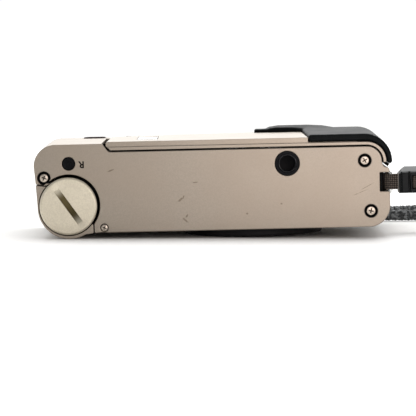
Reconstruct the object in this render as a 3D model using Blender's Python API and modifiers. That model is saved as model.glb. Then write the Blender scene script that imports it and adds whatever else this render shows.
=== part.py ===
"""Compact 35 mm film camera, lying face down on its lens ring with its wrist strap.

+X runs along the body towards the photographer's right hand, +Y from the base plate to the top
cover, +Z from the lens to the film door. The origin is on the surface the camera lies on, under the
middle of the body. Every size below is in millimetres and is turned to metres as a shape is made.
"""

import math

import bmesh
import bpy
from mathutils import Matrix, Vector

MM = 0.001
GAP = 0.3                     # clearance between pieces that touch

# Driving sizes of the body
LEFT_X, RIGHT_X = -59.5, 58.5
GRIP_X = 59.5                 # the thumb grip's outer side
BASE_Y = -32.1                # outer face of the base plate
SEAM_Y = 18.4                 # top of the lower covers and of the door
TOP_Y = 31.7                  # top cover's upper face
DIAL_Y = 33.0                 # faces of the dials and of the shutter button
CAP_Y = -33.0                 # face of the battery cap
FRONT_Z = 2.5                 # front face, above the lens bezel's rim at 0
BACK_Z = 32.1                 # back of the fixed covers
PANEL_Z = 32.65               # raised panel of the film door
GRIP_Z = 33.5                 # top of the thumb grip at the base
GRIP_RISE = 0.9               # how much higher it is at its far end
THUMB_REST_Z = 35.5           # crest of the thumb rest on it
WALL = 1.0
PLATE = 1.6

# Centres, as (x, z) on the base and top faces, and as (x, y) on the front
CELL = (-48.3, 11.6)          # battery, its cap and its chamber
CAP_HOLE = (-48.1, 11.8)
CARTRIDGE = (-21.2, 18.2)
SPOOL = (44.6, 16.6)
BUSH = (24.6, 24.2)
REWIND = (-47.9, 25.7)
LENS = (13.5, -5.0)
HINGE = (58.7, 22.6)
SHUTTER = (47.0, 16.5)
EXPOSURE = (30.0, 16.0)
FOCUS = (-22.0, 17.0)
TIMER = (8.0, 8.5)
FINDER = (-41.2, 25.0)
LAMP_X, SENSOR_X = -29.3, -25.3

CAP_R = 9.55
CAP_HOLE_R = 10.3
SLOT_ANGLE = 55.0             # the coin slot's slope, from +X towards -Z
SLOT_DEPTH = 1.7
SAW_R = 14.3                  # radius of the slot's curved bottom
HOUSING = (-48.0, 11.25)      # the battery housing's outer curve is not quite concentric
HOUSING_R = 10.5
END_LOW_X = -58.95            # the left end leans in towards the housing
CORNER_LOW_R = 7.0
CORNER_BACK_R = 7.2           # the left corner gets tighter from the base to the top cover
CORNER_TOP_R = 6.4
DOOR_CORNER = (51.0, 24.3)
GRIP_CORNER = (50.3, 24.3)


# ---------------------------------------------------------------- tools of the bench

def clear_scene():
    for obj in list(bpy.data.objects):
        bpy.data.objects.remove(obj, do_unlink=True)
    for collection in list(bpy.data.collections):
        bpy.data.collections.remove(collection)


def new_collection(name, hidden=False):
    collection = bpy.data.collections.new(name)
    bpy.context.scene.collection.children.link(collection)
    collection.hide_render = hidden
    return collection


clear_scene()
CAMERA = new_collection("film_camera")
CUTTERS = new_collection("cutters", hidden=True)


def finish(name, colour, roughness, metallic=0.0, alpha=1.0):
    material = bpy.data.materials.new(name)
    material.use_nodes = True
    shader = material.node_tree.nodes["Principled BSDF"]
    shader.inputs["Base Color"].default_value = (*colour, 1.0)
    shader.inputs["Roughness"].default_value = roughness
    shader.inputs["Metallic"].default_value = metallic
    shader.inputs["Alpha"].default_value = alpha
    return material


def add(name, mesh, material, collection=CAMERA):
    obj = bpy.data.objects.new(name, mesh)
    collection.objects.link(obj)
    if collection is CUTTERS:
        obj.hide_render = True
        obj.display_type = "WIRE"
    else:
        mesh.materials.clear()
        mesh.materials.append(material)
        mesh.shade_smooth()
        mesh.set_sharp_from_angle(angle=math.radians(30))
    return obj


def mesh_from(name, bm):
    mesh = bpy.data.meshes.new(name)
    bmesh.ops.recalc_face_normals(bm, faces=bm.faces)
    bm.to_mesh(mesh)
    bm.free()
    return mesh


def arc(centre, radius, start, end, steps=10):
    """Points on a circle from the start angle to the end angle, in degrees."""
    angles = [math.radians(start + (end - start) * i / steps) for i in range(steps + 1)]
    return [(centre[0] + radius * math.cos(a), centre[1] + radius * math.sin(a)) for a in angles]


def circle(centre, radius, steps=24):
    return arc(centre, radius, 0, 360, steps)[:-1]


def rounded(low, high, radius, steps=3):
    """Outline of a rectangle with round corners."""
    (x0, y0), (x1, y1) = low, high
    corners = [((x1 - radius, y0 + radius), -90), ((x1 - radius, y1 - radius), 0),
               ((x0 + radius, y1 - radius), 90), ((x0 + radius, y0 + radius), 180)]
    return [p for centre, turn in corners for p in arc(centre, radius, turn, turn + 90, steps)]


TURNS = {
    "X": Matrix(((0, 0, 1), (1, 0, 0), (0, 1, 0))).to_4x4(),
    "Y": Matrix(((1, 0, 0), (0, 0, -1), (0, 1, 0))).to_4x4(),
    "Z": Matrix.Identity(4),
}


def prism(name, outline, low, high, material=None, holes=(), along="Y", collection=CAMERA):
    """A flat outline given a thickness from low to high along one axis.

    The outline is (x, z) along Y, (x, y) along Z and (y, z) along X.
    """
    curve = bpy.data.curves.new(name, "CURVE")
    curve.dimensions = "2D"
    curve.fill_mode = "BOTH"
    curve.extrude = (high - low) / 2 * MM
    for points in (outline, *holes):
        spline = curve.splines.new("POLY")
        spline.points.add(len(points) - 1)
        for point, (u, v) in zip(spline.points, points):
            point.co = (u * MM, v * MM, 0, 1)
        spline.use_cyclic_u = True
    drawn = bpy.data.objects.new(name, curve)
    bpy.context.scene.collection.objects.link(drawn)
    evaluated = drawn.evaluated_get(bpy.context.evaluated_depsgraph_get())
    mesh = bpy.data.meshes.new_from_object(evaluated)
    bpy.data.objects.remove(drawn)
    bpy.data.curves.remove(curve)
    bm = bmesh.new()
    bm.from_mesh(mesh)
    bpy.data.meshes.remove(mesh)
    bmesh.ops.remove_doubles(bm, verts=bm.verts, dist=1e-7)
    middle = (low + high) / 2 * MM
    shift = {"X": (middle, 0, 0), "Y": (0, middle, 0), "Z": (0, 0, middle)}[along]
    bmesh.ops.transform(bm, matrix=Matrix.Translation(shift) @ TURNS[along], verts=bm.verts)
    return add(name, mesh_from(name, bm), material, collection)


def box(name, low, high, material=None, collection=CAMERA):
    bm = bmesh.new()
    bmesh.ops.create_cube(bm, size=1.0)
    size = Matrix.Diagonal([(b - a) * MM for a, b in zip(low, high)]).to_4x4()
    middle = Matrix.Translation([(a + b) / 2 * MM for a, b in zip(low, high)])
    bmesh.ops.transform(bm, matrix=middle @ size, verts=bm.verts)
    return add(name, mesh_from(name, bm), material, collection)


def rod(name, centre, radius, low, high, material=None, along="Y", steps=24, collection=CAMERA):
    return prism(name, circle(centre, radius, steps), low, high, material, (), along, collection)


def wall(name, path, low, high, thickness, side, material, far_path=None):
    """A bent sheet: the path in (x, z) drawn out along Y, given its thickness towards side (-1 or 1).

    With far_path, of as many points, it changes to that path on the way.
    """
    bm = bmesh.new()
    edge = [bm.verts.new((x * MM, low * MM, z * MM)) for x, z in path]
    chain = [bm.edges.new(pair) for pair in zip(edge, edge[1:])]
    drawn = bmesh.ops.extrude_edge_only(bm, edges=chain)["geom"]
    moved = [g for g in drawn if isinstance(g, bmesh.types.BMVert)]
    for vert in moved:
        nearest = min(range(len(path)), key=lambda i: math.dist(path[i], (vert.co.x / MM, vert.co.z / MM)))
        x, z = (far_path or path)[nearest]
        vert.co = (x * MM, high * MM, z * MM)
    mesh = bpy.data.meshes.new(name)
    bm.to_mesh(mesh)
    bm.free()
    obj = add(name, mesh, material)
    solid = obj.modifiers.new("thickness", "SOLIDIFY")
    solid.thickness = thickness * MM
    solid.offset = side
    solid.use_even_offset = True
    return obj


def turned(name, profile, centre, material=None, along="Y", steps=32, collection=CAMERA):
    """A profile of (radius, height) points turned about an axis. From radius 0 to 0, it is solid."""
    area = sum(a[0] * b[1] - b[0] * a[1] for a, b in zip(profile, profile[1:] + profile[:1]))
    points = profile if area < 0 else profile[::-1]
    mesh = bpy.data.meshes.new(name)
    bm = bmesh.new()
    verts = [bm.verts.new((r * MM, 0, h * MM)) for r, h in points]
    for pair in zip(verts, verts[1:]):
        bm.edges.new(pair)
    if profile[0][0] > 0:
        bm.edges.new((verts[-1], verts[0]))
    bm.to_mesh(mesh)
    bm.free()
    obj = add(name, mesh, material, collection)
    if along == "Y":
        obj.location = (centre[0] * MM, 0, centre[1] * MM)
        obj.rotation_euler = (-math.pi / 2, 0, 0)
    else:
        obj.location = (centre[0] * MM, centre[1] * MM, 0)
    screw = obj.modifiers.new("turn", "SCREW")
    screw.steps = screw.render_steps = steps
    screw.use_merge_vertices = True
    screw.merge_threshold = 1e-6
    screw.use_smooth_shade = True
    return obj


def cut(obj, cutter, how="DIFFERENCE"):
    """Takes the cutter out of the piece, joins it on (UNION) or keeps what lies in it (INTERSECT)."""
    boolean = obj.modifiers.new(cutter.name, "BOOLEAN")
    boolean.operation = how
    boolean.solver = "EXACT"
    boolean.object = cutter
    return obj


def cut_box(name, low, high):
    return box(name, low, high, collection=CUTTERS)


def cut_rod(name, centre, radius, low, high, along="Y", steps=24):
    return rod(name, centre, radius, low, high, None, along, steps, CUTTERS)


def pivot(obj, point):
    """Puts the origin of a piece on its joint's axis, without moving the piece."""
    place = Matrix.Translation(Vector(point) * MM)
    obj.data.transform(place.inverted() @ obj.matrix_basis)
    obj.matrix_basis = place
    return obj


# ---------------------------------------------------------------- finishes

TITANIUM = finish("champagne_titanium", (0.46, 0.42, 0.37), 0.42, 0.75)
CHAMPAGNE = finish("cap_champagne", (0.60, 0.56, 0.46), 0.36, 0.75)
BLACK = finish("black_plastic", (0.02, 0.02, 0.022), 0.5)
GRIP = finish("grip_rubber", (0.03, 0.033, 0.036), 0.62)
STEEL = finish("steel", (0.62, 0.61, 0.58), 0.28, 1.0)
CHROME = finish("chrome", (0.8, 0.8, 0.8), 0.1, 1.0)
BRASS = finish("brass", (0.75, 0.6, 0.3), 0.35, 1.0)
GLASS = finish("glass", (0.55, 0.62, 0.66), 0.05, 0.0, 0.4)
DARK_GLASS = finish("dark_glass", (0.03, 0.02, 0.03), 0.08)
INNER = finish("chassis_black", (0.03, 0.03, 0.03), 0.7)
BOARD = finish("board_green", (0.02, 0.12, 0.06), 0.5)
SLEEVE = finish("sleeve_blue", (0.02, 0.04, 0.16), 0.45)
WEBBING = finish("webbing", (0.03, 0.028, 0.025), 0.85)
BRAID = finish("cord_braid", (0.10, 0.11, 0.115), 0.85)


# ---------------------------------------------------------------- covers

# Base screws as (centre, head radius, depth of the head's face below the plate)
SCREWS = {
    "base_screw_left": ((-56.2, 21.1), (1.5, 0.15)),
    "base_screw_upper_right": ((50.3, 24.6), (1.6, 0.15)),
    "base_screw_lower_right": ((52.1, 7.8), (1.6, 0.15)),
    "base_screw_small": ((-36.5, 4.15), (1.2, 0.1)),
}


def base_plate():
    outline = [(-39.8, FRONT_Z)]
    outline += arc((RIGHT_X - CORNER_LOW_R, FRONT_Z + CORNER_LOW_R), CORNER_LOW_R, -90, 0)
    outline += [(RIGHT_X, 14.2), (55.2, 14.2), (55.2, 20.5), (RIGHT_X, 20.5)]
    outline += [(RIGHT_X, 21.2), (57.6, 21.9), (56.9, 22.6), (56.2, 23.5)]
    outline += arc(DOOR_CORNER, 5.0, 0, 90, 8)
    outline += [(-34.5, 29.3), (-36.7, BACK_Z)]
    outline += arc((LEFT_X + CORNER_BACK_R, BACK_Z - CORNER_BACK_R), CORNER_BACK_R, 90, 180)
    outline += [(END_LOW_X, 19.0)]
    outline += arc(CAP_HOLE, CAP_HOLE_R, 135.7, -37, 26)
    holes = [circle(BUSH, 4.3), circle(REWIND, 2.25, 20)]
    plate = prism("base_plate", outline, BASE_Y, BASE_Y + PLATE, TITANIUM, holes)
    for name, (centre, _) in SCREWS.items():
        cut(plate, cut_rod(name + "_clearance", centre, 0.95, BASE_Y - 1, BASE_Y + 3, steps=12))
        if name != "base_screw_small":
            cut(plate, cut_rod(name + "_seat", centre, 2.2, BASE_Y - 1, BASE_Y + 1.1))
    cut(plate, cut_rod("small_seat", SCREWS["base_screw_small"][0], 1.4, BASE_Y - 1, BASE_Y + 0.8))


def screws():
    for name, (centre, (radius, sunk)) in SCREWS.items():
        face = BASE_Y + sunk
        shank = radius * 0.45
        seat = BASE_Y + (0.8 if name == "base_screw_small" else 1.1) - 0.05
        profile = [(0, face), (radius - 0.25, face), (radius, face + 0.25), (radius, seat),
                   (shank, seat), (shank, face + 3.4), (0, face + 3.8)]
        screw = turned(name, profile, centre, STEEL, steps=20)
        x, z = centre
        reach = radius * 0.62
        for tag, (dx, dz) in {"_wide": (reach, 0.2), "_tall": (0.2, reach)}.items():
            cut(screw, cut_box(name + tag, (x - dx, face - 1, z - dz), (x + dx, face + 0.6, z + dz)))


def battery_housing():
    outline = [(END_LOW_X, 18.7), (HOUSING[0] - HOUSING_R, CELL[1])]
    outline += arc(HOUSING, HOUSING_R, 185, 300, 16)
    outline += [(-41.6, 2.25), (-40.1, FRONT_Z), (-40.15, 5.3)]
    outline += arc(CELL, 9.85, -38, -222, 22)
    prism("battery_housing", outline, BASE_Y, SEAM_Y, TITANIUM)


def covers():
    low = BASE_Y + PLATE + GAP
    path = [(-39.8, FRONT_Z)]
    path += arc((RIGHT_X - CORNER_LOW_R, FRONT_Z + CORNER_LOW_R), CORNER_LOW_R, -90, 0, 8)
    path += [(RIGHT_X, 21.7)]
    front = wall("front_cover", path, low, SEAM_Y, WALL, -1, TITANIUM)
    cut(front, cut_rod("lens_hole", LENS, 21.4, -2, 8, along="Z", steps=48))
    cut(front, cut_box("strap_pocket", (54, -36, 12.5), (62, -26.2, 24)))

    paths = []
    for radius in (CORNER_BACK_R, CORNER_TOP_R):
        corner = arc((LEFT_X + radius, BACK_Z - radius), radius, 180, 90, 8)
        paths.append([(END_LOW_X, 19.0)] + corner + [(-36.9, BACK_Z)])
    end = wall("end_cover", paths[0], low, SEAM_Y, WALL, 1, TITANIUM, paths[1])
    cut(end, cut_box("release_slot", (-61, 1.5, 22.4), (-57, 12.5, 25.4)))


def top_cover():
    outline = arc((RIGHT_X - CORNER_LOW_R, FRONT_Z + CORNER_LOW_R), CORNER_LOW_R, -90, 0, 6)
    outline += arc((RIGHT_X - CORNER_BACK_R, BACK_Z - CORNER_BACK_R), CORNER_BACK_R, 0, 90, 6)
    outline += arc((LEFT_X + CORNER_TOP_R, BACK_Z - CORNER_TOP_R), CORNER_TOP_R, 90, 180, 6)
    outline += arc((LEFT_X + CORNER_LOW_R, FRONT_Z + CORNER_LOW_R), CORNER_LOW_R, 180, 270, 6)
    bm = bmesh.new()
    rim = [bm.verts.new((x * MM, TOP_Y * MM, z * MM)) for x, z in outline]
    lid = bm.faces.new(rim)
    drawn = bmesh.ops.extrude_edge_only(bm, edges=list(lid.edges))["geom"]
    moved = [g for g in drawn if isinstance(g, bmesh.types.BMVert)]
    bmesh.ops.translate(bm, verts=moved, vec=(0, (SEAM_Y + GAP - TOP_Y) * MM, 0))
    cover = add("top_cover", mesh_from("top_cover", bm), TITANIUM)
    edge = cover.modifiers.new("round_edge", "BEVEL")
    edge.width = 1.4 * MM
    edge.segments = 2
    edge.limit_method = "ANGLE"
    edge.angle_limit = math.radians(60)
    solid = cover.modifiers.new("thickness", "SOLIDIFY")
    solid.thickness = 1.2 * MM
    solid.offset = -1
    solid.use_even_offset = True
    x, y = FINDER
    cut(cover, cut_box("finder_opening", (x - 5.5, y - 3.8, 0), (x + 5.5, y + 3.8, 6)))
    cut(cover, cut_box("eyepiece_opening", (x - 4.0, y - 3.2, 28), (x + 4.0, y + 3.2, 36)))
    cut(cover, cut_box("rangefinder_opening", (-30, 22, 0), (-14, 28, 6)))
    cut(cover, cut_box("flash_opening", (29, 20.5, 0), (51, 29.5, 6)))
    cut(cover, cut_box("lcd_opening", (0.5, 28, 13.5), (15.5, 36, 22.5)))
    for name, centre, radius in (("shutter", SHUTTER, 4.8), ("exposure", EXPOSURE, 2.3),
                                 ("focus", FOCUS, 2.3), ("timer", TIMER, 2.3)):
        cut(cover, cut_rod(name + "_opening", centre, radius, 28, 36))
    cut(cover, cut_rod("lamp_opening", (LAMP_X, 26.0), 1.1, 28, 36, along="Z", steps=12))
    cut(cover, cut_rod("sensor_opening", (SENSOR_X, 26.0), 1.1, 28, 36, along="Z", steps=12))


# ---------------------------------------------------------------- frame inside

def chassis():
    path = [(CARTRIDGE[0] - 13.6, 28.6)] + arc(CARTRIDGE, 13.6, 180, 360, 18)
    path += [(CARTRIDGE[0] + 13.6, 25.6), (SPOOL[0] - 10.0, 25.6)]
    path += arc(SPOOL, 10.0, 180, 360, 14) + [(SPOOL[0] + 10.0, 22.5)]
    frame = wall("chassis", path, BASE_Y + PLATE + GAP, 17.1, 1.2, 0, INNER)
    cut(frame, cut_box("film_gate", (LENS[0] - 18, LENS[1] - 12, 22), (LENS[0] + 18, LENS[1] + 12, 28)))
    cut(frame, cut_rod("bush_pocket", BUSH, 4.5, -34, -23.6))
    outline = rounded((-57.3, 4.0), (55.9, 28.6), 5.5)
    deck = prism("mid_deck", outline, 17.4, SEAM_Y, INNER, [circle(CARTRIDGE, 2.5, 16)])
    cut(deck, cut_rod("battery_room", CELL, 12.0, 16, 20))
    outer = rounded((LENS[0] - 19.6, LENS[1] - 13.6), (LENS[0] + 19.6, LENS[1] + 13.6), 1.0)
    inner = rounded((LENS[0] - 18.4, LENS[1] - 12.4), (LENS[0] + 18.4, LENS[1] + 12.4), 0.8)
    prism("light_baffle", outer, 19.2, 24.7, INNER, [inner], along="Z")


def tripod_bush():
    turned("tripod_bush", [(0, -24.0), (4.0, -24.0), (4.0, BASE_Y), (3.3, BASE_Y), (2.95, BASE_Y + 0.4),
                           (2.95, -25.2), (0, -25.2)], BUSH, BLACK)


# ---------------------------------------------------------------- battery

def battery():
    mouth = BASE_Y + PLATE + GAP
    turned("battery_tube", [(0, 9.6), (9.5, 9.6), (9.5, mouth), (8.75, mouth), (8.75, 8.6), (0, 8.6)],
           CELL, INNER)
    turned("battery_cell", [(0, -26.9), (8.3, -26.9), (8.3, 6.6), (3.2, 6.6), (3.2, 7.8), (0, 7.8)],
           CELL, SLEEVE, steps=28)
    turned("battery_contact", [(0, -28.3), (7.4, -28.3), (7.4, -27.3), (0, -27.3)], CELL, BRASS, steps=28)
    cap = turned("battery_cap", [(0, CAP_Y), (CAP_R - 0.5, CAP_Y), (CAP_R, CAP_Y + 0.5), (CAP_R, -30.9),
                                 (8.4, -30.9), (8.4, -28.7), (0, -28.7)], CELL, CHAMPAGNE, steps=48)
    saw = rod("coin_slot", (0, 0), SAW_R, -1.0, 1.0, None, "Z", 72, CUTTERS)
    saw.location = (CELL[0] * MM, (CAP_Y + SLOT_DEPTH - SAW_R) * MM, CELL[1] * MM)
    saw.rotation_euler = (0, math.radians(SLOT_ANGLE), 0)
    cut(cap, saw)


# ---------------------------------------------------------------- lens

def lens():
    turned("lens_bezel", [(19.3, 0.4), (19.8, 0), (22.7, 0), (23.2, 0.5), (23.2, 2.2), (21.1, 2.2),
                          (21.1, 3.6), (19.3, 3.6)], LENS, TITANIUM, "Z", 40)
    turned("aperture_ring", [(17.0, 0.5), (19.0, 0.5), (19.0, 3.5), (17.0, 3.5)], LENS, BLACK, "Z", 40)
    turned("lens_tube", [(17.0, 3.9), (22.1, 3.9), (22.1, 4.9), (18.2, 4.9), (18.2, 17.0), (17.0, 17.0)],
           LENS, INNER, "Z", 32)
    turned("lens_barrel", [(7.5, 0.8), (16.2, 0.8), (16.7, 1.3), (16.7, 18.5), (15.5, 18.5), (15.5, 1.8),
                           (7.5, 1.8)], LENS, TITANIUM, "Z", 40)
    turned("lens_cell", [(6.6, 3.3), (15.2, 3.3), (15.2, 11.2), (5.4, 11.2), (5.4, 8.6), (6.6, 8.0)],
           LENS, BLACK, "Z", 32)
    front = [(0, 3.5), (2.4, 3.62), (4.6, 4.0), (6.3, 4.6), (6.3, 6.4), (4.6, 7.0), (2.4, 7.4), (0, 7.5)]
    turned("front_lens", front, LENS, GLASS, "Z", 32)
    turned("shutter_unit", [(6.0, 11.6), (15.2, 11.6), (15.2, 17.9), (6.0, 17.9)], LENS, BLACK, "Z", 32)
    rear = [(0, 13.4), (3.0, 13.6), (5.7, 14.2), (5.7, 16.4), (3.0, 17.0), (0, 17.2)]
    turned("rear_lens", rear, LENS, GLASS, "Z", 28)


BLADE_R = 8.1
BLADE_PIVOT = 10.6            # distance of a blade's pivot from the lens axis


def barrier_blades():
    half = [(0.15, -8.0)] + arc((0, 0), BLADE_R, -82, 80, 12)
    lug = arc((0, BLADE_PIVOT), 1.5, -35, 200, 8)
    outline = half + lug + [(0.15, 8.9)]
    for name, side in (("barrier_blade_right", 1), ("barrier_blade_left", -1)):
        placed = [(LENS[0] + side * x, LENS[1] + side * y) for x, y in outline]
        blade = prism(name, placed, 2.2, 2.8, BLACK, along="Z")
        pivot(blade, (LENS[0], LENS[1] + side * BLADE_PIVOT, 2.5))


# ---------------------------------------------------------------- film transport

def transport():
    turned("take_up_spool", [(5.7, -29.2), (8.8, -29.2), (8.8, -28.4), (6.9, -28.4), (6.9, 15.6),
                             (8.8, 15.6), (8.8, 16.4), (5.7, 16.4)], SPOOL, INNER, steps=32)
    rod("wind_motor", SPOOL, 5.3, -26.0, 12.0, STEEL)
    fork = rod("rewind_fork", CARTRIDGE, 2.2, 13.0, 21.0, BLACK, steps=20)
    x, z = CARTRIDGE
    blade = cut_box("fork_blade", (x - 2.9, 10.8, z - 0.6), (x + 2.9, 14.0, z + 0.6))
    cut(pivot(fork, (x, 16, z)), blade, "UNION")


# ---------------------------------------------------------------- finder, flash and electronics

def finder():
    x, y = FINDER
    outer = rounded((x - 5.5, y - 4.2), (x + 5.5, y + 4.2), 0.8, 2)
    inner = rounded((x - 4.3, y - 3.0), (x + 4.3, y + 3.0), 0.6, 2)
    prism("finder_tube", outer, 5.0, 29.8, INNER, [inner], along="Z")
    pane = rounded((x - 5.2, y - 3.5), (x + 5.2, y + 3.5), 0.8, 2)
    prism("finder_window", pane, 2.7, 3.7, GLASS, along="Z")
    surround = rounded((x - 3.7, y - 2.9), (x + 3.7, y + 2.9), 1.2, 3)
    view = rounded((x - 2.7, y - 1.9), (x + 2.7, y + 1.9), 0.8, 3)
    prism("eyepiece_frame", surround, 30.3, 32.5, BLACK, [view], along="Z")
    lens_pane = rounded((x - 2.4, y - 1.6), (x + 2.4, y + 1.6), 0.7, 3)
    prism("eyepiece_lens", lens_pane, 30.5, 31.6, GLASS, along="Z")


def electronics():
    prism("rangefinder_window", rounded((-29.7, 22.3), (-14.3, 27.7), 0.8, 2), 2.7, 3.7, DARK_GLASS,
          along="Z")
    prism("flash_window", rounded((29.3, 20.8), (50.7, 29.2), 0.8, 2), 2.7, 3.7, GLASS, along="Z")
    reflector = box("flash_reflector", (30.0, 20.6, 4.2), (50.0, 29.4, 9.8), CHROME)
    trough = [(21.4, 2.0), (28.6, 2.0), (28.6, 4.2), (26.6, 8.4), (23.4, 8.4), (21.4, 4.2)]
    cut(reflector, prism("flash_trough", trough, 30.8, 49.2, None, (), "X", CUTTERS))
    rod("flash_tube", (25.0, 6.6), 1.0, 31.6, 48.4, GLASS, along="X", steps=12)
    rod("flash_capacitor", (23.9, 23.4), 4.2, 2.0, 34.0, SLEEVE, along="X", steps=20)
    box("circuit_board", (-10, 19.2, 6.0), (28, 20.2, 17.5), BOARD)
    prism("lcd_window", rounded((0.8, 13.8), (15.2, 22.2), 0.8, 2), 30.7, 31.6, DARK_GLASS)
    rod("ready_lamp", (LAMP_X, 26.0), 0.85, 30.6, 32.5, DARK_GLASS, along="Z", steps=12)
    rod("eye_sensor", (SENSOR_X, 26.0), 0.85, 30.6, 32.5, DARK_GLASS, along="Z", steps=12)


# ---------------------------------------------------------------- controls

def controls():
    turned("shutter_button", [(0, DIAL_Y), (4.1, DIAL_Y), (4.5, DIAL_Y - 0.4), (4.5, 30.2), (5.4, 30.2),
                              (5.4, 29.6), (1.5, 29.6), (1.5, 26.4), (0, 26.4)], SHUTTER, TITANIUM,
           steps=32)
    turned("selftimer_button", [(0, 32.3), (1.8, 32.3), (2.0, 32.1), (2.0, 30.2), (2.7, 30.2),
                                (2.7, 29.6), (0.8, 29.6), (0.8, 27.0), (0, 27.0)], TIMER, BLACK, steps=20)
    for name, centre in (("exposure_dial", EXPOSURE), ("focus_dial", FOCUS)):
        turned(name, [(0, DIAL_Y), (6.9, DIAL_Y), (7.4, DIAL_Y - 0.5), (7.4, TOP_Y + GAP),
                      (2.0, TOP_Y + GAP), (2.0, 28.9), (0, 28.9)], centre, TITANIUM, steps=40)
    turned("rewind_button", [(0, BASE_Y + 0.2), (2.0, BASE_Y + 0.2), (2.0, -30.2), (2.8, -30.2),
                             (2.8, -29.4), (1.2, -29.4), (1.2, -25.0), (0, -25.0)], REWIND, BLACK,
           steps=24)
    release = box("door_release", (-59.4, 6.4, 22.7), (-57.3, 12.2, 25.1), BLACK)
    slide = cut_box("release_slide", (-57.8, 5.0, 21.6), (-57.0, 14.6, 26.2))
    cut(release, slide, "UNION")


# ---------------------------------------------------------------- film door

# The left edge of the grip, from the end of its wing down to the base.
GRIP_EDGE = [(14.6, 30), (14.6, 12.0), (28.4, 9.8), (31.0, 7.0), (32.2, -40)]


def grip_side(name, low_z, shift):
    """Cutter for everything right of the grip's left edge."""
    outline = [(80, -40), (80, 30)] + [(x + shift, y + shift) for x, y in GRIP_EDGE]
    return prism(name, outline, low_z, 40, None, (), "Z", CUTTERS)


def film_door():
    flange = [(-34.0, 29.8), (-34.9, 30.9)] + arc(DOOR_CORNER, 6.5, 90, 0, 10) + [(57.5, 23.9)]
    flange += [(56.5, 23.9)] + arc(DOOR_CORNER, 5.5, 0, 90, 10)
    door = prism("film_door", flange, BASE_Y, SEAM_Y, TITANIUM)
    panel = [(-34.6, 30.4), (-35.5, 31.2), (-35.5, 32.2), (-34.9, PANEL_Z), (48, PANEL_Z), (48, 30.4)]
    raised = prism("door_panel", panel, BASE_Y + 0.7, SEAM_Y - 0.7, None, (), "Y", CUTTERS)
    cut(raised, grip_side("grip_space", 30.9, -GAP))
    cut(door, raised, "UNION")
    cut(door, cut_box("window_opening", (-25.5, -18, 28), (-18.5, 8, 36)))
    pivot(door, (HINGE[0], 0, HINGE[1]))

    outer = arc(GRIP_CORNER, 9.2, 0, 90, 10)
    inner = arc(DOOR_CORNER, 6.8, 90, 0, 10)
    outline = [(GRIP_X, 23.5)] + outer + [(10.0, GRIP_Z), (10.0, 31.1)] + inner + [(57.8, 23.5)]
    grip = prism("thumb_grip", outline, BASE_Y + 0.4, SEAM_Y - 0.7, GRIP)
    for vert in grip.data.vertices:
        outside = math.dist((vert.co.x / MM, vert.co.z / MM), GRIP_CORNER) > 8.8 and vert.co.z / MM > 31.5
        if vert.co.y > 0 and outside:
            vert.co.z += GRIP_RISE * (vert.co.z - GRIP_CORNER[1] * MM) / (GRIP_Z - GRIP_CORNER[1])
    rest = [(16.4, 33.4), (20.0, THUMB_REST_Z - 0.4), (23.0, THUMB_REST_Z), (33.0, THUMB_REST_Z),
            (38.0, THUMB_REST_Z - 0.3), (45.0, 33.9), (45.0, 33.4)]
    thumb_rest = prism("thumb_rest", rest, 9.0, SEAM_Y - 0.7, None, (), "Y", CUTTERS)
    for vert in thumb_rest.data.vertices:
        if vert.co.y < 10 * MM:
            vert.co.y = -4 * MM
            vert.co.z = min(vert.co.z, 33.5 * MM)
    cut(grip, thumb_rest, "UNION")
    cut(grip, grip_side("grip_shape", 20, 0), "INTERSECT")
    pivot(grip, (HINGE[0], 0, HINGE[1]))

    pane = rounded((-25.2, -17.7), (-18.8, 7.7), 0.8, 2)
    pivot(prism("film_window", pane, 30.1, 32.2, DARK_GLASS, along="Z"), (HINGE[0], 0, HINGE[1]))
    plate = rounded((-9.5, LENS[1] - 17), (36.5, LENS[1] + 17), 2.0, 3)
    pivot(prism("pressure_plate", plate, 26.6, 27.6, INNER, along="Z"), (LENS[0], LENS[1], 27.1))
    bow = [(-4, 28.1), (3, 28.5), (13.5, 29.1), (24, 28.5), (31, 28.1),
           (31, 27.9), (24, 28.3), (13.5, 28.9), (3, 28.3), (-4, 27.9)]
    prism("pressure_spring", [(x, z) for x, z in bow], LENS[1] - 4, LENS[1] + 4, STEEL)
    rod("door_hinge_pin", HINGE, 0.6, BASE_Y, SEAM_Y - 0.2, CHROME, steps=14)


# ---------------------------------------------------------------- strap

def tube(name, points, radius, material, sides=2):
    curve = bpy.data.curves.new(name, "CURVE")
    curve.dimensions = "3D"
    curve.bevel_depth = radius * MM
    curve.bevel_resolution = sides
    curve.use_fill_caps = True
    spline = curve.splines.new("POLY")
    spline.points.add(len(points) - 1)
    for point, place in zip(spline.points, points):
        point.co = (*(c * MM for c in place), 1)
    curve.materials.append(material)
    obj = bpy.data.objects.new(name, curve)
    CAMERA.objects.link(obj)
    return obj


def smooth_route(route, spacing):
    """Points about spacing apart on a smooth curve through the route's own points."""
    knots = [Vector(p) for p in route]
    ends = [knots[0] * 2 - knots[1]] + knots + [knots[-1] * 2 - knots[-2]]
    fine = []
    for a, b, c, d in zip(ends, ends[1:], ends[2:], ends[3:]):
        for i in range(24):
            t = i / 24
            fine.append(0.5 * (2 * b + (c - a) * t + (2 * a - 5 * b + 4 * c - d) * t * t
                               + (3 * b - a - 3 * c + d) * t ** 3))
    fine.append(knots[-1])
    lengths = [0.0]
    for a, b in zip(fine, fine[1:]):
        lengths.append(lengths[-1] + (b - a).length)
    count = round(lengths[-1] / spacing)
    picked, j = [], 0
    for i in range(count + 1):
        target = lengths[-1] * i / count
        while j < len(fine) - 2 and lengths[j + 1] < target:
            j += 1
        span = lengths[j + 1] - lengths[j]
        picked.append(fine[j].lerp(fine[j + 1], (target - lengths[j]) / span))
    return picked


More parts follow.
